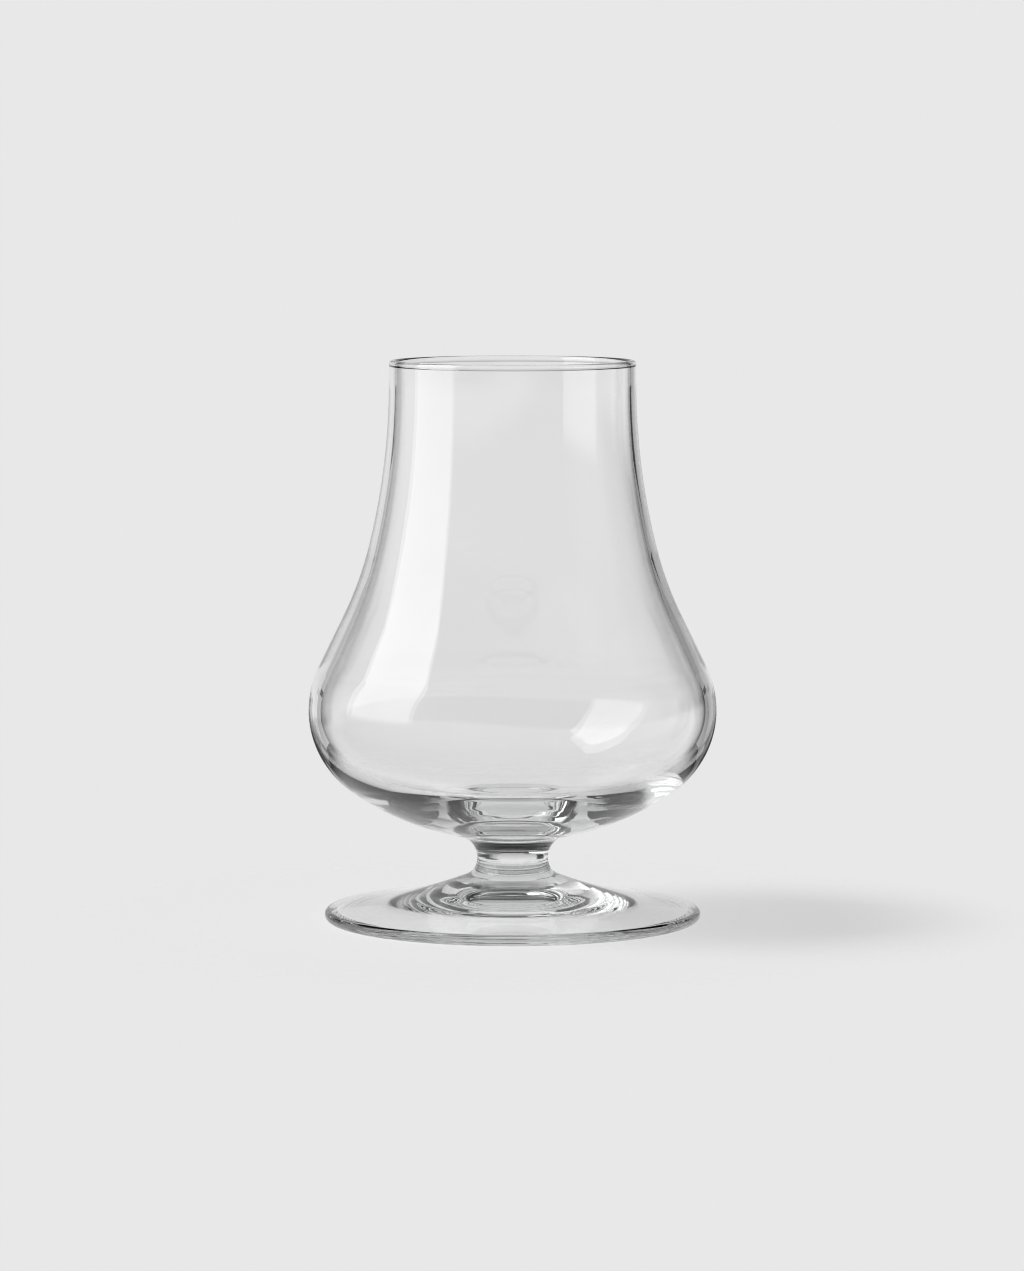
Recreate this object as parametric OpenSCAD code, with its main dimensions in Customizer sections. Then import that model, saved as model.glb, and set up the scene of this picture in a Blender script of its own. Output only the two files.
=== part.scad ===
/* [Foot] */
// Diameter of the foot
foot_d = 77.6; // [70:0.2:90]
// Radius of the fire-polished round along the foot's edge
foot_edge_r = 1.2; // [0.8:0.05:1.8]
// Slope of the foot's top where it leaves the edge, in degrees
foot_slope = 6.6; // [4:0.2:10]
// Radius of the long hollow sweep of the foot's top, from the edge to the stem
foot_sweep_r = 118; // [80:1:180]
// Diameter of the shallow hollow under the foot
hollow_d = 72; // [64:0.5:74]
// Depth of that hollow at its flat middle
hollow_h = 2.8; // [2:0.1:3.6]
// Slope of the hollow's side, in degrees
hollow_slope = 11; // [8:0.5:14]
// Radius of the round between that side and the flat middle
hollow_round_r = 48; // [20:1:80]

/* [Stem] */
// Diameter of the stem at its waist
waist_d = 14.6; // [10:0.2:20]
// Radius of the stem's sweep from the waist down to the foot
stem_foot_r = 3.8; // [2.5:0.1:7]
// Radius of the stem's sweep from the waist up to the bowl
stem_bowl_r = 5; // [3:0.1:9]

/* [Bowl outside] */
// Diameter of the belly at its widest
belly_d = 84; // [74:0.5:100]
// Radius of the belly's round, above and below its widest line
belly_round_r = 20; // [15:0.5:26]
// Radius of the dish that closes the bowl under the belly
dish_r = 58.5; // [54:0.5:75]
// Length of the straight flank above the belly
flank_len = 12; // [6:0.5:18]
// Radius of the flare that turns the flank towards the neck
flare_r = 74; // [55:1:95]
// Radius of the long curve of the neck
neck_r = 140; // [110:1:180]
// Lean of the wall where the flare meets the neck's curve, in degrees
neck_lean = 14; // [10:0.5:18]
// Diameter of the mouth, outside
rim_d = 50.6; // [42:0.2:60]
// Height of the straight lip above the neck's curve
lip_h = 4; // [1.5:0.5:10]

/* [Bowl wall] */
// Thickness of the wall at the lip
lip_wall = 1.3; // [0.9:0.05:1.7]
// Thickness of the fire-polished bead along the lip
bead_d = 1.5; // [1.2:0.05:2.4]
// Thickness of the wall at the belly
belly_wall = 2.6; // [1.6:0.1:3.6]
// Thickness of the glass under the bowl's floor, at the axis
floor_thick = 5; // [4:0.5:12]
// Radius of the bowl's floor
floor_r = 64; // [58:1:120]

/* [Hidden] */
// Sides of each turned solid where it is drawn as a mesh
$fn = 180;
// Greatest distance between a round of the outline and its chords
arc_sag = 0.01;
// Clear soda-lime crystal, faintly grey
glass_colour = [0.86, 0.88, 0.88, 0.45];

// Points along an arc, after its first point, which the stretch before it ends on
function arc(centre, r, from, to) =
    let (steps = ceil(abs(to - from) / (2 * acos(1 - arc_sag / r))))
    [for (i = [1:steps]) centre + r * heading(from + (to - from) * i / steps)];

// Unit vector at an angle in the plane of the outline
function heading(angle) = [cos(angle), sin(angle)];

// The same points, from last to first
function reversed(points) = [for (i = [len(points) - 1:-1:0]) points[i]];

// Foot: a round edge, then a hollow sweep up to the seam under the stem
foot_edge_c = [foot_d / 2 - foot_edge_r, foot_edge_r];
foot_sweep_c = foot_edge_c + (foot_edge_r + foot_sweep_r) * heading(90 - foot_slope);
waist_r = waist_d / 2;
stem_low_x = waist_r + stem_foot_r;
stem_low_run = foot_sweep_c.x - stem_low_x;
waist_z = foot_sweep_c.y - sqrt(pow(foot_sweep_r - stem_foot_r, 2) - pow(stem_low_run, 2));
stem_low_c = [stem_low_x, waist_z];
// Angle at which the foot's sweep runs into the stem's, seen from the sweep's centre
foot_seam_angle = 180 + atan2(foot_sweep_c.y - waist_z, stem_low_run);
foot_seam = foot_sweep_c + foot_sweep_r * heading(foot_seam_angle);
// Hollow: a flat middle, then a round that runs into the sloped side
hollow_r = hollow_d / 2;
hollow_round_drop = hollow_round_r * (1 - cos(hollow_slope));
hollow_side_run = (hollow_h - hollow_round_drop) / tan(hollow_slope);
hollow_flat_r = hollow_r - hollow_side_run - hollow_round_r * sin(hollow_slope);
hollow_round_c = [hollow_flat_r, hollow_h - hollow_round_r];

// Stem: its upper sweep runs into the dish under the bowl
stem_top_c = [waist_r + stem_bowl_r, waist_z];
dish_z = waist_z + sqrt(pow(dish_r + stem_bowl_r, 2) - pow(stem_top_c.x, 2));
bowl_seam_angle = atan2(waist_z - dish_z, stem_top_c.x);
bowl_seam = [0, dish_z] + dish_r * heading(bowl_seam_angle);

// Bowl outside: dish, belly, flank, flare and neck, each tangent to the next
rim_r = rim_d / 2;
belly_r = belly_d / 2;
belly_z = dish_z - dish_drop(belly_r, belly_round_r, dish_r);
rim_z = neck_top(rim_r, belly_r, belly_round_r, flare_r, neck_r) + lip_h;

// Bowl inside: the wall thickens from the lip to the belly and again to the floor
bead_r = bead_d / 2;
bead_c = [rim_r - bead_r, rim_z - bead_r];
mouth_r = rim_r - lip_wall;
inner_belly_r = belly_r - belly_wall;
inner_round_r = belly_round_r - belly_wall;
inner_flare_r = flare_r + belly_wall;
inner_neck_r = neck_r + lip_wall;
floor_z = dish_z - dish_r + floor_thick;
inner_depth = belly_z - floor_z;
// Round between the inner wall and the floor, tangent to both
floor_round_r = (2 * floor_r * inner_depth - pow(inner_belly_r, 2) - pow(inner_depth, 2))
    / (2 * (floor_r - inner_belly_r));

echo(overall_height = rim_z, belly_height = belly_z, waist_height = waist_z);

// Height of a dish's centre above the belly's widest line
function dish_drop(belly, round_r, dish) = sqrt(pow(dish - round_r, 2) - pow(belly - round_r, 2));

// Lean of the flank that joins the belly's round to the flare, in degrees
function flank_lean(mouth, belly, round_r, flare, neck) =
    let (reach = mouth - belly + round_r + neck - (neck - flare) * cos(neck_lean))
    let (arm = [round_r + flare, flank_len])
    acos(reach / norm(arm)) - atan2(arm.y, arm.x);

// Height at which the neck's curve stands upright
function neck_top(mouth, belly, round_r, flare, neck) =
    let (lean = flank_lean(mouth, belly, round_r, flare, neck))
    belly_z + (round_r + flare) * sin(lean) + flank_len * cos(lean) + (neck - flare) * sin(neck_lean);

// Outline of a bowl from its dish up to the belly's widest line
function lower_outline(belly, round_r, dish, dish_height, from) =
    let (drop = dish_drop(belly, round_r, dish))
    let (join = atan2(-drop, belly - round_r))
    concat(
        arc([0, dish_height], dish, from, join),
        arc([belly - round_r, dish_height - drop], round_r, join, 0)
    );

// Outline of a bowl from the belly's widest line up to the top of the neck
function upper_outline(mouth, belly, round_r, flare, neck) =
    let (lean = flank_lean(mouth, belly, round_r, flare, neck))
    let (round_c = [belly - round_r, belly_z])
    let (flank_top = round_c + round_r * heading(lean) + flank_len * heading(lean + 90))
    let (flare_c = flank_top + flare * heading(lean))
    let (neck_c = flare_c + (neck - flare) * heading(neck_lean))
    concat(
        arc(round_c, round_r, 0, lean),
        [flank_top],
        arc(flare_c, flare, 180 + lean, 180 + neck_lean),
        arc(neck_c, neck, 180 + neck_lean, 180)
    );

// Round of the lip, over the top of the bead and down to the inner wall
function lip_outline() =
    let (inner_turn = acos((bead_r - lip_wall) / bead_r))
    concat([[rim_r, bead_c.y]], arc(bead_c, bead_r, 0, 360 - inner_turn));

// Blown bowl: a belly that draws in to the mouth, on a thick floor
module bowl() {
    outside = concat(
        lower_outline(belly_r, belly_round_r, dish_r, dish_z, bowl_seam_angle),
        upper_outline(rim_r, belly_r, belly_round_r, flare_r, neck_r)
    );
    inside = concat(
        lower_outline(inner_belly_r, floor_round_r, floor_r, floor_z + floor_r, -90),
        upper_outline(mouth_r, inner_belly_r, inner_round_r, inner_flare_r, inner_neck_r)
    );
    seam_face = [[0, bowl_seam.y], bowl_seam];
    color(glass_colour)
        rotate_extrude()
            polygon(concat(seam_face, outside, lip_outline(), reversed(inside), [[0, floor_z]]));
}

// Drawn stem: a short waisted spool, fused to the foot below and to the bowl above
module stem() {
    color(glass_colour)
        rotate_extrude()
            polygon(concat(
                [[0, foot_seam.y], foot_seam],
                arc(stem_low_c, stem_foot_r, foot_seam_angle, 180),
                arc(stem_top_c, stem_bowl_r, 180, 180 + bowl_seam_angle),
                [[0, bowl_seam.y]]
            ));
}

// Pressed foot: a thin disc that rises to the stem, hollowed underneath along the same slope
module foot() {
    color(glass_colour)
        rotate_extrude()
            polygon(concat(
                [[0, hollow_h], [hollow_flat_r, hollow_h]],
                arc(hollow_round_c, hollow_round_r, 90, 90 - hollow_slope),
                [[hollow_r, 0], [foot_edge_c.x, 0]],
                arc(foot_edge_c, foot_edge_r, -90, 90 - foot_slope),
                arc(foot_sweep_c, foot_sweep_r, 270 - foot_slope, foot_seam_angle),
                [[0, foot_seam.y]]
            ));
}

bowl();
stem();
foot();
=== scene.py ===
# %% [markdown]
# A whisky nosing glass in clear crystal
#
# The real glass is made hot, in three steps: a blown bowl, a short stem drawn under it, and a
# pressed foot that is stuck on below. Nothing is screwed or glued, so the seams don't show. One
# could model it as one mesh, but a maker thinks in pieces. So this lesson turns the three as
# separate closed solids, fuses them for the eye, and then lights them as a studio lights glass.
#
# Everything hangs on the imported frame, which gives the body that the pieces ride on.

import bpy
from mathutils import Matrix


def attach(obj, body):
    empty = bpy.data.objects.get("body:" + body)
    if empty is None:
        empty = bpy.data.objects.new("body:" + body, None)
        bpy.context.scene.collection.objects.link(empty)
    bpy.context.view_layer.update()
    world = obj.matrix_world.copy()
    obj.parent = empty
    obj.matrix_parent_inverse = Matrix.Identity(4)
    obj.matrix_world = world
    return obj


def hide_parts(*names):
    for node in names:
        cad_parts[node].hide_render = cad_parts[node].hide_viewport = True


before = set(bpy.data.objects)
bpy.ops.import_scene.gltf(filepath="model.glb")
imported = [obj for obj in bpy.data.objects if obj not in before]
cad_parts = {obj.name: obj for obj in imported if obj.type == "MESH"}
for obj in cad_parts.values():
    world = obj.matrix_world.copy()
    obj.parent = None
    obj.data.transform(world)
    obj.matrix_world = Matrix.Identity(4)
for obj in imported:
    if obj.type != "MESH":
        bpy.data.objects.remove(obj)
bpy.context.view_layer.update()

# %% [markdown]
# Driving sizes
#
# A glass like this is a solid of revolution, so a few radii and heights say all there is to say
# about its shape. One could trace its outline point by point, but then no size could be changed
# later. These are the sizes that the maker's drawing would carry. Every other point is worked out
# from them, so that each round runs into the next one without a kink.

# %% Sizes of the glass, in millimetres and degrees
MM = 0.001

# Foot: a disc with a round edge, a hollow sweep on top and a shallow hollow underneath
foot_d = 77.6
foot_edge_r = 1.2
foot_slope = 6.6
foot_sweep_r = 118
hollow_d = 72
hollow_h = 2.8
hollow_slope = 11
hollow_round_r = 48

# Stem: a waist, with one sweep down to the foot and one up to the bowl
waist_d = 14.6
stem_foot_r = 3.8
stem_bowl_r = 5

# Bowl, outside: belly, dish, flank, flare, neck and lip
belly_d = 84
belly_round_r = 20
dish_r = 58.5
flank_len = 12
flare_r = 74
neck_r = 140
neck_lean = 14
rim_d = 50.6
lip_h = 4

# Bowl, wall: thin at the lip, thicker at the belly, thickest at the floor
lip_wall = 1.3
bead_d = 1.5
belly_wall = 2.6
floor_thick = 5
floor_r = 64
print(f"belly of {belly_d} mm, mouth of {rim_d} mm and foot of {foot_d} mm")

# %% [markdown]
# Rounds and straights of the outline
#
# One could draw the outline with Bezier curves and let a Screw modifier turn it. Glass is less
# forgiving than wood: what the eye sees is bent twice by every wall, and the bend follows the
# surface normal. So each stretch of the outline here carries its exact normal beside its points,
# and the mesh keeps that normal instead of an average over the faces. The glass always lies to
# the left of the way along a stretch.

# %% Stretches of outline with exact normals
from math import acos, atan2, ceil, cos, degrees, hypot, pi, radians, sin, sqrt, tan

from mathutils import Vector

# Greatest turn between two points of a round, in degrees
turn_step = 1.5
# The same for the small rounds of the lip and the foot's edge, and what counts as small
small_turn_step = 7.5
small_round_r = 2


def heading(angle):
    """Unit vector at an angle in degrees, in the plane of the outline."""
    return Vector((cos(radians(angle)), sin(radians(angle))))


def on_axis(z):
    """Point of the axis at a height."""
    return Vector((0, z))


def arc(centre, r, start, end):
    """A round stretch: points, each with the normal of the glass there."""
    steps = ceil(abs(end - start) / (small_turn_step if r < small_round_r else turn_step))
    side = 1 if end > start else -1
    angles = [start + (end - start) * i / steps for i in range(steps + 1)]
    return [(centre + r * heading(angle), side * heading(angle)) for angle in angles]


def straight(start, end):
    """A straight stretch between two points."""
    along = (end - start).normalized()
    normal = Vector((along.y, -along.x))
    return [(start, normal), (end, normal)]


def backwards(stretches):
    """The same stretches walked the other way, with the glass on the other side."""
    return [
        [(point, -normal) for point, normal in reversed(stretch)]
        for stretch in reversed(stretches)
    ]


print(f"rounds turn by up to {turn_step} degrees a step, small ones by {small_turn_step}")

# %% [markdown]
# Foot and stem
#
# The foot is a pressed disc: it stands on a narrow ring, is rounded along its edge by the flame,
# and sweeps up to the stem on top. Underneath it is hollowed along the same slope as the top, up
# to a flat middle, so it is as thick at the rim as further in. A foot that is flat underneath
# would be quicker to draw, but it is a wedge, which traps light and shows stripes; this one stays
# clear. The stem is a waisted spool. Where its sweep and the foot's run into each other they
# share a tangent, and that is where the seam between the pieces lies.

# %% Outline of the foot
foot_edge_c = Vector((foot_d / 2 - foot_edge_r, foot_edge_r))
foot_sweep_c = foot_edge_c + (foot_edge_r + foot_sweep_r) * heading(90 - foot_slope)
waist_r = waist_d / 2
stem_low_x = waist_r + stem_foot_r
stem_low_run = foot_sweep_c.x - stem_low_x
waist_z = foot_sweep_c.y - sqrt((foot_sweep_r - stem_foot_r) ** 2 - stem_low_run ** 2)
foot_seam_angle = 180 + degrees(atan2(foot_sweep_c.y - waist_z, stem_low_run))
foot_seam = foot_sweep_c + foot_sweep_r * heading(foot_seam_angle)

hollow_r = hollow_d / 2
hollow_round_drop = hollow_round_r * (1 - cos(radians(hollow_slope)))
hollow_side_run = (hollow_h - hollow_round_drop) / tan(radians(hollow_slope))
hollow_flat_r = hollow_r - hollow_side_run - hollow_round_r * sin(radians(hollow_slope))
hollow_round_c = Vector((hollow_flat_r, hollow_h - hollow_round_r))
hollow_round = arc(hollow_round_c, hollow_round_r, 90, 90 - hollow_slope)
foot_skin = [
    straight(on_axis(hollow_h), hollow_round[0][0]),
    hollow_round,
    straight(hollow_round[-1][0], Vector((hollow_r, 0))),
    straight(Vector((hollow_r, 0)), Vector((foot_edge_c.x, 0))),
    arc(foot_edge_c, foot_edge_r, -90, 90 - foot_slope),
    arc(foot_sweep_c, foot_sweep_r, 270 - foot_slope, foot_seam_angle),
]
print(f"foot stands on a ring from {hollow_r:.1f} to {foot_edge_c.x:.1f} mm")
print(f"its hollow is flat to {hollow_flat_r:.1f} mm from the axis")

# %% Outline of the stem
stem_top_c = Vector((waist_r + stem_bowl_r, waist_z))
dish_z = waist_z + sqrt((dish_r + stem_bowl_r) ** 2 - stem_top_c.x ** 2)
bowl_seam_angle = degrees(atan2(waist_z - dish_z, stem_top_c.x))
bowl_seam = on_axis(dish_z) + dish_r * heading(bowl_seam_angle)
stem_skin = [
    arc(Vector((stem_low_x, waist_z)), stem_foot_r, foot_seam_angle, 180),
    arc(stem_top_c, stem_bowl_r, 180, 180 + bowl_seam_angle),
]
print(f"waist at {waist_z:.2f} mm, seams at {foot_seam.y:.2f} and {bowl_seam.y:.2f} mm")

# %% [markdown]
# Bowl
#
# The bowl is blown: a dish, a round belly, a flank that flares in to the neck, and a lip that the
# flame has rounded to a small bead. A Solidify modifier over one skin would give it an even wall,
# but blown glass has none. The wall is thinnest at the lip, thickens towards the belly, and ends
# in a solid floor over the stem, and that floor is what draws the rings and dark crescents under
# the bowl. So the inside is drawn as a skin of its own, from the same kinds of stretches.

# %% Stretches that the outer and the inner skin share
rim_r = rim_d / 2
belly_r = belly_d / 2


def dish_drop(belly, round_r, dish):
    """Height of a dish's centre above the belly's widest line."""
    return sqrt((dish - round_r) ** 2 - (belly - round_r) ** 2)


belly_z = dish_z - dish_drop(belly_r, belly_round_r, dish_r)


def lower_skin(belly, round_r, dish, dish_height, start):
    """From the dish up to the belly's widest line."""
    drop = dish_drop(belly, round_r, dish)
    join = degrees(atan2(-drop, belly - round_r))
    round_c = Vector((belly - round_r, dish_height - drop))
    return [arc(on_axis(dish_height), dish, start, join), arc(round_c, round_r, join, 0)]


def upper_skin(mouth, belly, round_r, flare, neck):
    """From the belly's widest line up to where the neck stands upright."""
    reach = mouth - belly + round_r + neck - (neck - flare) * cos(radians(neck_lean))
    arm = round_r + flare
    lean = degrees(acos(reach / hypot(arm, flank_len)) - atan2(flank_len, arm))
    round_c = Vector((belly - round_r, belly_z))
    flank_low = round_c + round_r * heading(lean)
    flank_top = flank_low + flank_len * heading(lean + 90)
    flare_c = flank_top + flare * heading(lean)
    neck_c = flare_c + (neck - flare) * heading(neck_lean)
    return [
        arc(round_c, round_r, 0, lean),
        straight(flank_low, flank_top),
        arc(flare_c, flare, 180 + lean, 180 + neck_lean),
        arc(neck_c, neck, 180 + neck_lean, 180),
    ]


print(f"belly is widest at {belly_z:.2f} mm")

# %% Outline of the bowl
outside = lower_skin(belly_r, belly_round_r, dish_r, dish_z, bowl_seam_angle)
outside += upper_skin(rim_r, belly_r, belly_round_r, flare_r, neck_r)

inner_mouth_r = rim_r - lip_wall
inner_belly_r = belly_r - belly_wall
inner_round_r = belly_round_r - belly_wall
inner_flare_r = flare_r + belly_wall
inner_neck_r = neck_r + lip_wall
floor_z = dish_z - dish_r + floor_thick
inner_depth = belly_z - floor_z
floor_reach = 2 * floor_r * inner_depth - inner_belly_r ** 2 - inner_depth ** 2
floor_round_r = floor_reach / (2 * (floor_r - inner_belly_r))
inside = lower_skin(inner_belly_r, floor_round_r, floor_r, floor_z + floor_r, -90)
inside += upper_skin(inner_mouth_r, inner_belly_r, inner_round_r, inner_flare_r, inner_neck_r)

bead_r = bead_d / 2
neck_end = outside[-1][-1][0]
rim_z = neck_end.y + lip_h
bead_c = Vector((rim_r - bead_r, rim_z - bead_r))
bead = arc(bead_c, bead_r, 0, 360 - degrees(acos((bead_r - lip_wall) / bead_r)))
lip = [straight(neck_end, bead[0][0]), bead, straight(bead[-1][0], inside[-1][-1][0])]
bowl_skin = outside + lip + backwards(inside)
print(f"rim at {rim_z:.2f} mm, floor at {floor_z:.2f} mm")

# %% [markdown]
# Turning the pieces
#
# Each outline is swept round the axis in equal steps, as a lathe would. The Spin tool does that
# too, but it leaves the normals to Blender. Here each face keeps the normals of its own stretch,
# so a sharp corner stays sharp and a round stays round, however few faces it has. The two flat
# seams get a material slot of their own, because on the real glass they don't exist any more: the
# pieces have run together.

# %% A turned solid from its outline
import bpy

sides = 192
# Points nearer to the axis than this lie on it, in millimetres
axis_r = 0.001
skin_slot = 0
seam_slot = 1


def turned(name, skin, seam_low=None, seam_top=None):
    """Closed solid of revolution: its skin, and a flat seam below or above where it has one."""
    stretches = [(stretch, skin_slot) for stretch in skin]
    if seam_low:
        stretches.insert(0, (straight(on_axis(seam_low.y), seam_low), seam_slot))
    if seam_top:
        stretches.append((straight(seam_top, on_axis(seam_top.y)), seam_slot))
    points = [stretches[0][0][0][0]]
    steps = []
    for stretch, slot in stretches:
        for (_, normal), (end, end_normal) in zip(stretch, stretch[1:]):
            points.append(end)
            steps.append((normal, end_normal, slot))

    turns = [heading(360 * i / sides) for i in range(sides)]
    rings = []
    vertices = []
    for point in points:
        ring = turns[:1] if point.x < axis_r else turns
        rings.append(range(len(vertices), len(vertices) + len(ring)))
        vertices += [
            Vector((point.x * turn.x, point.x * turn.y, point.y)) * MM for turn in ring
        ]

    faces = []
    normals = []
    slots = []
    for (low, top), (normal, end_normal, slot) in zip(zip(rings, rings[1:]), steps):
        for i in range(sides):
            j = (i + 1) % sides
            corners = [
                (low, normal, i), (low, normal, j), (top, end_normal, j), (top, end_normal, i),
            ]
            if len(low) == 1:
                corners.pop(1)
            if len(top) == 1:
                corners.pop()
            faces.append([ring[k % len(ring)] for ring, _, k in corners])
            normals += [
                Vector((n.x * turns[k].x, n.x * turns[k].y, n.y)) for _, n, k in corners
            ]
            slots.append(slot)

    mesh = bpy.data.meshes.new(name)
    mesh.from_pydata(vertices, [], faces)
    mesh.polygons.foreach_set("use_smooth", [True] * len(faces))
    mesh.polygons.foreach_set("material_index", slots)
    mesh.normals_split_custom_set(normals)
    mesh.validate()
    piece = bpy.data.objects.new(name, mesh)
    bpy.context.scene.collection.objects.link(piece)
    print(f"{name}: {len(vertices)} points, {len(faces)} faces")
    return piece


# %% The three pieces
glass_bowl = turned("glass_bowl", bowl_skin, seam_low=bowl_seam)
glass_stem = turned("glass_stem", stem_skin, seam_low=foot_seam, seam_top=bowl_seam)
glass_foot = turned("glass_foot", foot_skin, seam_top=foot_seam)

# %% [markdown]
# Colours and nodes
#
# Materials could be put together by hand in the shader editor, but then nobody could read them
# here. Colours are written as a designer reads them off a screen, in sRGB, and one function turns
# them to the linear light that Blender works in. A second small function adds a node, fills in
# its settings and joins its links, so that each material below reads as a short list.

# %% Helpers for materials
white = "#FFFFFF"
pale_grey = "#E8E8E8"


def linear(hex_colour):
    """Linear RGBA of an sRGB hex colour, by the sRGB curve: a straight foot, then a power."""
    shares = [int(hex_colour[i:i + 2], 16) / 255 for i in (1, 3, 5)]
    return [s / 12.92 if s <= 0.04045 else ((s + 0.055) / 1.055) ** 2.4 for s in shares] + [1]


def add_node(tree, kind, settings=None, links=None):
    """One node: settings go to its properties or inputs, links join inputs to other outputs."""
    node = tree.nodes.new(kind)
    for key, value in (settings or {}).items():
        if isinstance(key, str) and hasattr(node, key):
            setattr(node, key, value)
        else:
            node.inputs[key].default_value = value
    for key, output in (links or {}).items():
        tree.links.new(output, node.inputs[key])
    return node


def new_material(name):
    """An empty node material and its tree."""
    material = bpy.data.materials.new(name)
    material.use_nodes = True
    material.node_tree.nodes.clear()
    return material, material.node_tree


print("pale grey in linear light:", [round(share, 3) for share in linear(pale_grey)])

# %% [markdown]
# Clear crystal
#
# Drinking glasses of this kind are lead-free crystal: a soda-lime glass with an index of about
# 1.52, almost without colour. The flame has melted its surface as smooth as a liquid, so it needs
# no roughness. The body takes a little light on the way, so long paths through the rim and the
# floor look grey.
#
# What tells it from a perfect lens is that it was shaped hot. A faint, broad wave makes the edges
# of the lamps waver. In the bowl's floor and the foot's middle, where the glass is thick, it has
# chilled in faint rings round the axis. Both could be modelled, but they are only hundredths and
# thousandths of a millimetre high, so they are bumps in the material. A Glass shader would look
# the same here, and the Principled one is used because other programs can read it too.

# %% Waves and chill rings in the surface
wave_detail = 1.0
wave_roughness = 0.4
ring_bend = 0.3
ring_bend_scale = 0.4
# Share of their reach at which the rings start to fade
ring_fade_start = 0.6
# Blender's wave texture turns by this many radians over one unit of its scale
wave_texture_pace = 20


def slow_wave(tree, place, wave_mm, height_mm, stretch):
    """Normals with a slow wave all over the surface, drawn out along an axis by the stretch."""
    drawn = add_node(tree, "ShaderNodeMapping", {"Scale": stretch}, {"Vector": place})
    wave = add_node(
        tree, "ShaderNodeTexNoise",
        {"Scale": 1 / (wave_mm * MM), "Detail": wave_detail, "Roughness": wave_roughness},
        {"Vector": drawn.outputs["Vector"]},
    )
    slow = add_node(
        tree, "ShaderNodeBump", {"Strength": 1.0, "Distance": height_mm * MM},
        {"Height": wave.outputs["Fac"]},
    )
    return slow.outputs["Normal"]


def chill_rings(tree, place, normal, ring_mm, height_mm, reach_mm):
    """The same normals with faint rings round the axis, which fade out at their reach."""
    rings = add_node(
        tree, "ShaderNodeTexWave",
        {"wave_type": "RINGS", "rings_direction": "Z",
         "Scale": 2 * pi / (wave_texture_pace * ring_mm * MM),
         "Distortion": ring_bend, "Detail": 0.0, "Detail Scale": ring_bend_scale},
        {"Vector": place},
    )
    flat = add_node(
        tree, "ShaderNodeVectorMath", {"operation": "MULTIPLY", 1: (1, 1, 0)}, {0: place},
    )
    away = add_node(
        tree, "ShaderNodeVectorMath", {"operation": "LENGTH"}, {0: flat.outputs["Vector"]},
    )
    fade = add_node(
        tree, "ShaderNodeMapRange",
        {"interpolation_type": "SMOOTHSTEP", "To Min": 1, "To Max": 0,
         "From Min": ring_fade_start * reach_mm * MM, "From Max": reach_mm * MM},
        {"Value": away.outputs["Value"]},
    )
    chill = add_node(
        tree, "ShaderNodeMath", {"operation": "MULTIPLY"},
        {0: rings.outputs["Fac"], 1: fade.outputs["Result"]},
    )
    ripple = add_node(
        tree, "ShaderNodeBump", {"Strength": 1.0, "Distance": height_mm * MM},
        {"Height": chill.outputs["Value"], "Normal": normal},
    )
    return ripple.outputs["Normal"]


print(f"chill rings fade from {ring_fade_start} of their reach")

# %% Crystal, blown, drawn and pressed
crystal_ior = 1.52
crystal_tint = "#D2D6D5"
crystal_density = 5.0


def crystal(name, wave_mm, wave_height_mm, stretch=(1, 1, 1), rings=None):
    """Clear fire-polished crystal: bright mirrored lamps, dark bent edges, a slow wave."""
    material, tree = new_material(name)
    place = add_node(tree, "ShaderNodeTexCoord").outputs["Object"]
    normal = slow_wave(tree, place, wave_mm, wave_height_mm, stretch)
    if rings:
        normal = chill_rings(tree, place, normal, *rings)
    shader = add_node(
        tree, "ShaderNodeBsdfPrincipled",
        {"Base Color": linear(white), "Roughness": 0.0, "IOR": crystal_ior,
         "Transmission Weight": 1.0},
        {"Normal": normal},
    )
    body = add_node(
        tree, "ShaderNodeVolumeAbsorption",
        {"Color": linear(crystal_tint), "Density": crystal_density},
    )
    add_node(
        tree, "ShaderNodeOutputMaterial", None,
        {"Surface": shader.outputs["BSDF"], "Volume": body.outputs["Volume"]},
    )
    print(f"{name}: waves {wave_mm} mm long and {wave_height_mm} mm high")
    return material


# Spacing, height and reach of the chill rings, in millimetres
floor_rings = (3.2, 0.006, 26)
foot_rings = (2.4, 0.003, 24)
# The stem was pulled upward while hot, and its waves with it
pulled_up = (1, 1, 0.3)

# Blown: a long wave, which lets the edges of the lamp waver
blown_crystal = crystal("blown_crystal", wave_mm=26, wave_height_mm=0.02, rings=floor_rings)
# Drawn: short and very low waves, which hardly show
drawn_crystal = crystal("drawn_crystal", wave_mm=9, wave_height_mm=0.002, stretch=pulled_up)
# Pressed: almost still, because the mould held it flat
pressed_crystal = crystal("pressed_crystal", wave_mm=30, wave_height_mm=0.003, rings=foot_rings)

# %% [markdown]
# Fused seams
#
# Two pieces of glass that have melted together have no surface between them, so light crosses the
# seam without a bend. One could delete the seam's faces, but then the solids would be open. A
# clear see-through shader on them does the same, and the three solids look like one body.

# %% The seam material, and the pieces on their body
fused_seam, seam_tree = new_material("fused_seam")
clear = add_node(seam_tree, "ShaderNodeBsdfTransparent")
add_node(seam_tree, "ShaderNodeOutputMaterial", None, {"Surface": clear.outputs["BSDF"]})

for piece, material, node, slot in [
    (glass_bowl, blown_crystal, "bowl", "blown_glass"),
    (glass_stem, drawn_crystal, "stem", "drawn_glass"),
    (glass_foot, pressed_crystal, "foot", "pressed_glass"),
]:
    piece.data.materials.append(material)
    piece.data.materials.append(fused_seam)
    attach(piece, "root")
    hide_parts(node)
    print(piece.name, "stands for", node, "in", material.name)

# %% [markdown]
# Camera
#
# The photograph was taken with a long lens from a little above the rim. A camera can be moved by
# eye until the outline fits, but then the foot and the rim seldom fit at once. This place was
# worked out from the outline of the glass and from the ellipses of its rim and its foot.

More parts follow.
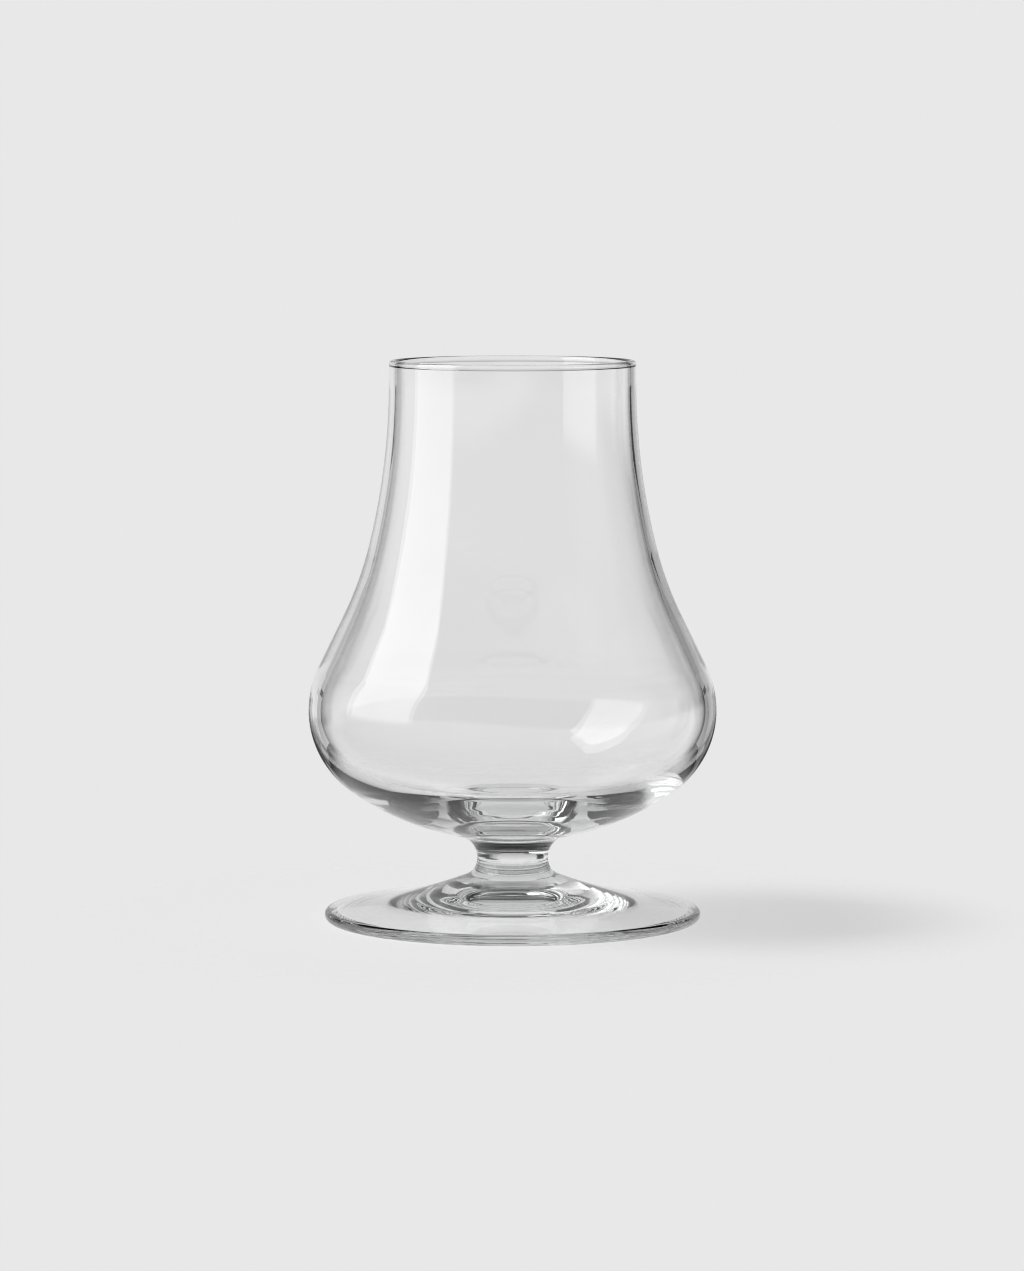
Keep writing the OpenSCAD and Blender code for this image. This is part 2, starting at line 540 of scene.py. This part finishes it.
# %% Camera at the photograph's place, in millimetres and degrees
camera_distance = 1069.0
camera_height = 157.8
camera_pitch = 5.293
camera_aside = -0.12
film_height = 36
photo_height_px = 1271
focal_px = 5223.1

lens = bpy.data.cameras.new("camera")
lens.sensor_fit = "VERTICAL"
lens.sensor_height = film_height
lens.sensor_width = film_height
lens.lens = focal_px / photo_height_px * film_height
camera = bpy.data.objects.new("camera", lens)
camera.location = Vector((camera_aside, -camera_distance, camera_height)) * MM
camera.rotation_euler = (radians(90 - camera_pitch), 0, 0)
bpy.context.scene.collection.objects.link(camera)
bpy.context.scene.camera = camera
print(f"lens of {lens.lens:.1f} mm")

# %% [markdown]
# Pale table
#
# Glass shows its surroundings and little else, so the studio is part of the look. The glass
# stands on pale grey paper. A large plane would do for a solid thing, but the edges of a glass
# bend in what lies far out to the sides. So the paper is only as wide as a small table and fades
# out, and the room beyond it draws those edges. The paper glows a little, so that the camera sees
# one even grey, and takes the rest of its light from the lamps, so it keeps the shadow.

# %% Table of pale paper, in metres
table_r = 0.11
table_fade_r = 0.065
table_sides = 96
# A hair below the glass, so that no face of the one lies in a face of the other
table_top = -0.00005
# The paper's own grey, and the glow that lifts it to the pale grey of the backdrop
paper_grey = "#AAAAAA"
table_glow = 0.607

table_mesh = bpy.data.meshes.new("table")
table_rim = [heading(360 * i / table_sides) * table_r for i in range(table_sides)]
table_spots = [(spot.x, spot.y, table_top) for spot in table_rim]
table_mesh.from_pydata(table_spots, [], [range(table_sides)])
table = bpy.data.objects.new("table", table_mesh)
bpy.context.scene.collection.objects.link(table)
print(f"table of {2 * table_r:.2f} m")

# %% Paper that is matt, glows a little and fades out
pale_paper, paper_tree = new_material("pale_paper")
matt = add_node(paper_tree, "ShaderNodeBsdfDiffuse", {"Color": linear(paper_grey)})
glow = add_node(
    paper_tree, "ShaderNodeEmission", {"Color": linear(white), "Strength": table_glow},
)
both = add_node(
    paper_tree, "ShaderNodeAddShader", None,
    {0: matt.outputs["BSDF"], 1: glow.outputs["Emission"]},
)
gone = add_node(paper_tree, "ShaderNodeBsdfTransparent")
paper_place = add_node(paper_tree, "ShaderNodeTexCoord")
outward = add_node(
    paper_tree, "ShaderNodeVectorMath", {"operation": "LENGTH"},
    {0: paper_place.outputs["Object"]},
)
edge = add_node(
    paper_tree, "ShaderNodeMapRange",
    {"interpolation_type": "SMOOTHSTEP", "From Min": table_fade_r, "From Max": table_r},
    {"Value": outward.outputs["Value"]},
)
paper = add_node(
    paper_tree, "ShaderNodeMixShader", None,
    {0: edge.outputs["Result"], 1: both.outputs["Shader"], 2: gone.outputs["BSDF"]},
)
add_node(paper_tree, "ShaderNodeOutputMaterial", None, {"Surface": paper.outputs["Shader"]})
table_mesh.materials.append(pale_paper)
print(f"paper of {paper_grey} glows at {table_glow}")

# %% [markdown]
# Room around the glass
#
# Each wall of the glass bends in another part of the room. A picture of a studio could be wrapped
# round the scene, but then no part of it could be set by itself. So the room is drawn as two
# rings of light and dark. The ring of walls is pale behind the glass and on the far left, dark
# in the corners between, and dim in front, where the camera stands. The ring of floor is pale,
# with a dark patch on each side behind the glass. They join a little below eye level, along a
# line that leans with the corners. It grows dark overhead. The camera itself sees one pale grey
# behind the glass.

# %% Levels of the room
# Pairs of an angle in degrees and a level; angles run from straight behind, to the right
wall_ring = [
    (-180, 0.15), (-125, 0.2), (-110, 0.4), (-96, 0.5), (-88, 0.95), (-56, 0.95),
    (-48, 0.04), (-35, 0.04), (-30, 0.8), (15, 0.8), (22, 0.6), (28, 0.3),
    (33, 0.04), (82, 0.02), (95, 0.4), (115, 0.4), (135, 0.15), (180, 0.15),
]
floor_ring = [
    (-180, 0.75), (-55, 0.75), (-43, 0.6), (-36, 0.1), (-22, 0.1), (-13, 0.8),
    (13, 0.8), (22, 0.1), (36, 0.05), (43, 0.6), (55, 0.75), (180, 0.75),
]
# Degrees up between which floor turns to wall, and how far that join leans and rises
floor_join = (-8, -3)
join_lean = 9
join_rise = 3
# Degrees up between which the walls grow dark, and the level overhead
wall_top = (-5, 52)
top_level = 0.02
print(f"room of {len(wall_ring)} levels of wall and {len(floor_ring)} of floor")

# %% World: angles round the glass and up, and a ring of levels
world = bpy.data.worlds.new("studio")
bpy.context.scene.world = world
world.use_nodes = True
air = world.node_tree
air.nodes.clear()
way = add_node(air, "ShaderNodeTexCoord")
axes = add_node(air, "ShaderNodeSeparateXYZ", None, {"Vector": way.outputs["Generated"]})
across = add_node(
    air, "ShaderNodeMath", {"operation": "ARCTAN2"},
    {0: axes.outputs["X"], 1: axes.outputs["Y"]},
)
upward = add_node(air, "ShaderNodeMath", {"operation": "ARCSINE"}, {0: axes.outputs["Z"]})
turn = add_node(
    air, "ShaderNodeMapRange", {"From Min": radians(-180), "From Max": radians(180)},
    {"Value": across.outputs["Value"]},
)

# Where a new stop of a ramp starts, before it is put in its place
ramp_middle = 0.5


def ring_of(levels):
    """Colour ramp once round the glass, from pairs of an angle and a level."""
    node = add_node(air, "ShaderNodeValToRGB", None, {"Fac": turn.outputs["Result"]})
    ramp = node.color_ramp
    ramp.interpolation = "EASE"
    while len(ramp.elements) < len(levels):
        ramp.elements.new(ramp_middle)
    for stop, (angle, level) in zip(ramp.elements, levels):
        stop.position = (angle + 180) / 360
        stop.color = (level, level, level, 1)
    return node.outputs["Color"]


print(f"world has {len(air.nodes)} nodes for its angles")

# %% World: floor and walls, the leaning join and the dark overhead
# The Mix node's colour sockets come after those for numbers and vectors
mix_share = 0
mix_first = 6
mix_second = 7
mix_result = 2

corner = add_node(
    air, "ShaderNodeMath", {"operation": "MULTIPLY"},
    {0: axes.outputs["X"], 1: axes.outputs["Y"]},
)
leaning = add_node(
    air, "ShaderNodeMath", {"operation": "MULTIPLY_ADD", 1: radians(-join_lean)},
    {0: corner.outputs["Value"], 2: upward.outputs["Value"]},
)
rising = add_node(
    air, "ShaderNodeMath", {"operation": "MULTIPLY_ADD", 1: radians(join_rise)},
    {0: axes.outputs["Y"], 2: leaning.outputs["Value"]},
)
join = add_node(
    air, "ShaderNodeMapRange",
    {"interpolation_type": "SMOOTHSTEP", "From Min": radians(floor_join[0] + join_rise),
     "From Max": radians(floor_join[1] + join_rise)},
    {"Value": rising.outputs["Value"]},
)
ring = add_node(
    air, "ShaderNodeMix", {"data_type": "RGBA"},
    {mix_share: join.outputs["Result"], mix_first: ring_of(floor_ring),
     mix_second: ring_of(wall_ring)},
)
top = add_node(
    air, "ShaderNodeMapRange",
    {"From Min": radians(wall_top[0]), "From Max": radians(wall_top[1]),
     "To Min": 1, "To Max": top_level},
    {"Value": upward.outputs["Value"]},
)
seen = add_node(air, "ShaderNodeBackground", {"Color": linear(pale_grey)})
mirrored = add_node(
    air, "ShaderNodeBackground", None,
    {"Color": ring.outputs[mix_result], "Strength": top.outputs["Result"]},
)
path = add_node(air, "ShaderNodeLightPath")
sky = add_node(
    air, "ShaderNodeMixShader", None,
    {0: path.outputs["Is Camera Ray"], 1: mirrored.outputs["Background"],
     2: seen.outputs["Background"]},
)
add_node(air, "ShaderNodeOutputWorld", None, {"Surface": sky.outputs["Shader"]})
print(f"floor turns to wall from {floor_join[0]} to {floor_join[1]} degrees up")

# %% [markdown]
# Soft lamp
#
# One tall soft lamp stands close on the left. The glass mirrors it as a bright strip down the
# neck and the flank, and again from its inner walls. An area lamp is a plain rectangle, but this
# one leans back as it rises, is brighter above, and ends below in a soft hem. So it is a mesh of
# glowing cloth, which shows in the glass with its true edges. It glows only on light that the
# glass has mirrored, so it doesn't burn through the bowl when the glass is seen from the side.

# %% Panels that show only in mirrors
most_bounces = 32
# Fewest and most times that the glass mirrors the light: at its edges few, in its floor many
one_mirror = (1, 1)
few_mirrors = (1, 2)
many_mirrors = (6, most_bounces)
any_mirrors = (1, most_bounces)


def mirrored_glow(name, level, mirrors):
    """Material that glows on light which was mirrored so many times, and is clear to the rest."""
    fewest, most = mirrors
    material, tree = new_material(name)
    shine = add_node(tree, "ShaderNodeEmission", {"Color": linear(white), "Strength": level})
    unseen = add_node(tree, "ShaderNodeBsdfTransparent")
    path = add_node(tree, "ShaderNodeLightPath")
    # True from the fewest to the most, with half a count of room at either end
    counted = add_node(
        tree, "ShaderNodeMath",
        {"operation": "COMPARE", 1: (fewest + most) / 2, 2: (most - fewest + 1) / 2},
        {0: path.outputs["Glossy Depth"]},
    )
    cloth = add_node(
        tree, "ShaderNodeMixShader", None,
        {0: counted.outputs["Value"], 1: unseen.outputs["BSDF"], 2: shine.outputs["Emission"]},
    )
    add_node(tree, "ShaderNodeOutputMaterial", None, {"Surface": cloth.outputs["Shader"]})
    return material, shine


def stage_panel(name, spots, faces, material):
    """A glowing panel of the studio, which the camera and the table don't see."""
    mesh = bpy.data.meshes.new(name)
    mesh.from_pydata(spots, [], faces)
    mesh.materials.append(material)
    panel = bpy.data.objects.new(name, mesh)
    bpy.context.scene.collection.objects.link(panel)
    panel.visible_camera = False
    panel.visible_diffuse = False
    panel.visible_shadow = False


print(f"panels can tell up to {most_bounces} mirrorings apart")

# %% Lamp cloth: brighter above, with a soft hem
lamp_low_level = 2.0
lamp_high_level = 3.3
# Heights in millimetres between which the lamp grows brighter, and those of its hem
lamp_low_end = 100
lamp_high_end = 320
lamp_soft = (28, 50)
hem_share = 0.3

lamp_cloth, shine = mirrored_glow("lamp_cloth", lamp_low_level, any_mirrors)
cloth_tree = lamp_cloth.node_tree
cloth_spot = add_node(cloth_tree, "ShaderNodeTexCoord")
cloth_axes = add_node(
    cloth_tree, "ShaderNodeSeparateXYZ", None, {"Vector": cloth_spot.outputs["Object"]},
)
bright = add_node(
    cloth_tree, "ShaderNodeMapRange",
    {"From Min": lamp_low_end * MM, "From Max": lamp_high_end * MM,
     "To Min": lamp_low_level, "To Max": lamp_high_level},
    {"Value": cloth_axes.outputs["Z"]},
)
hem = add_node(
    cloth_tree, "ShaderNodeMapRange",
    {"From Min": lamp_soft[0] * MM, "From Max": lamp_soft[1] * MM, "To Min": hem_share},
    {"Value": cloth_axes.outputs["Z"]},
)
shine_level = add_node(
    cloth_tree, "ShaderNodeMath", {"operation": "MULTIPLY"},
    {0: bright.outputs["Result"], 1: hem.outputs["Result"]},
)
cloth_tree.links.new(shine_level.outputs["Value"], shine.inputs["Strength"])
print(f"lamp cloth glows from {lamp_low_level} below to {lamp_high_level} above")

# %% Lamp panels on the left
# The lamp stands along the line between these two spots of the floor, in millimetres
lamp_back = Vector((-207, 28))
lamp_front = Vector((-186, -130))
# Height of each row, and where it starts and ends along that line
lamp_rows = [(30, 0, 159), (165, 0, 165), (360, -85, 140), (610, -205, -160)]

lamp_way = (lamp_front - lamp_back).normalized()
lamp_spots = []
for z, back, front in lamp_rows:
    for along in (back, front):
        spot_xy = lamp_back + lamp_way * along
        lamp_spots.append(Vector((spot_xy.x, spot_xy.y, z)) * MM)
lamp_faces = [(2 * i, 2 * i + 2, 2 * i + 3, 2 * i + 1) for i in range(len(lamp_rows) - 1)]
stage_panel("soft_lamp", lamp_spots, lamp_faces, lamp_cloth)
print(f"lamp of {len(lamp_faces)} panels, up to {lamp_rows[-1][0]} mm")

# %% [markdown]
# Cards
#
# Photographers of glass stand small cards round it, so that each edge mirrors what they want.
# These could be painted into the ring of walls, but there every part of the glass would show
# them. As cards they show only to light that was mirrored a given number of times: once or twice
# at the edges, and many times in the thick floor, where light runs a long way round.
#
# Grey cards behind the glass lift the black of the belly's edges to grey, and two low shades
# darken the edges below it. Two dark cards draw the dark crescents in the floor. Two bright ones
# on the left draw the white streaks low on the right, and two thin dark ones the fine lines at
# the neck. Each stands a millimetre nearer than the one before it, so that it covers that one.

# %% Cards round the glass
# Millimetres to the first card, how much nearer each next one stands, and the height from
# which degrees up are measured
card_distance = 600
card_step = 1
card_eye = 50
# Corners of a card, from its first side up and its second side down
card_face = (0, 1, 3, 2)
# Name, sides in degrees round the glass, ends in degrees up, level and mirrorings
cards = [
    ("left_card", (-40, -33), (-8, 9), 0.55, few_mirrors),
    ("left_low_card", (-40, -26), (-20, -8), 0.55, few_mirrors),
    ("right_card", (22, 38), (-20, 9), 0.4, few_mirrors),
    ("left_shade", (-22, -13), (-16, -4), 0.1, one_mirror),
    ("right_shade", (13, 21), (-16, -3.5), 0.1, one_mirror),
    ("left_dark_card", (-40, -24), (-14, 6), 0.04, many_mirrors),
    ("right_dark_card", (23, 45), (-14, 6), 0.03, many_mirrors),
    ("bright_card", (-88, -54), (1, 6), 1.7, many_mirrors),
    ("bright_high_card", (-88, -54), (8.5, 18), 1.7, many_mirrors),
    ("left_line_card", (-40, -35), (0.6, 2.7), 0.03, few_mirrors),
    ("right_line_card", (31, 37), (0.6, 2.7), 0.03, few_mirrors),
]

for i, (card_name, card_sides, card_ends, card_level, mirrors) in enumerate(cards):
    distance = card_distance - card_step * i
    card_spots = []
    for side in card_sides:
        card_x = distance * sin(radians(side))
        card_y = distance * cos(radians(side))
        for end in card_ends:
            card_z = card_eye + distance * tan(radians(end))
            card_spots.append(Vector((card_x, card_y, card_z)) * MM)
    card_board, _ = mirrored_glow(card_name, card_level, mirrors)
    stage_panel(card_name, card_spots, [card_face], card_board)
    print(card_name, "of level", card_level)

# %% [markdown]
# Shadow
#
# The glass throws a faint soft shadow to the right. The glowing lamp could throw it, but it would
# take many samples to get it smooth. A broad sun from the lamp's side draws it instead, with an
# angle so wide that the shadow has no edge. It is hidden from the mirrors of the glass, which
# already show the lamp. The clear foot lets the light through to the table, which stays pale
# under it, so the foot throws no shadow.

# %% Even light from the same side, for the shadow on the table
# Degrees: how wide the sun is, how high it stands, and where it comes from
sun_angle = 34
sun_rise = 34
sun_from = -91
sun_level = 2.2

sun_lamp = bpy.data.lights.new("side_light", "SUN")
sun_lamp.energy = sun_level
sun_lamp.angle = radians(sun_angle)
side_light = bpy.data.objects.new("side_light", sun_lamp)
side_light.rotation_euler = (radians(90 - sun_rise), 0, radians(180 - sun_from))
side_light.visible_glossy = False
side_light.visible_transmission = False
glass_foot.visible_shadow = False
bpy.context.scene.collection.objects.link(side_light)
print(f"side light {sun_rise} degrees up")

# %% [markdown]
# Last settings
#
# Light has to pass many walls before it gets back to the camera. With Blender's usual number of
# bounces the floor of the bowl would go dark, so they are raised. Only the mirrored ones stop
# sooner, because light that runs round and round in the wall would turn its dark edges pale. The
# picture's pixels are filtered a little more sharply than usual, for the fine lines of the glass.
# The view transform is Standard, so that a colour shows as it is written.

mirror_bounces = 17
filter_px = 1.1

scene = bpy.context.scene
scene.view_settings.view_transform = "Standard"
scene.cycles.max_bounces = most_bounces
scene.cycles.transmission_bounces = most_bounces
scene.cycles.glossy_bounces = mirror_bounces
scene.cycles.transparent_max_bounces = most_bounces
scene.cycles.use_denoising = True
scene.cycles.filter_width = filter_px
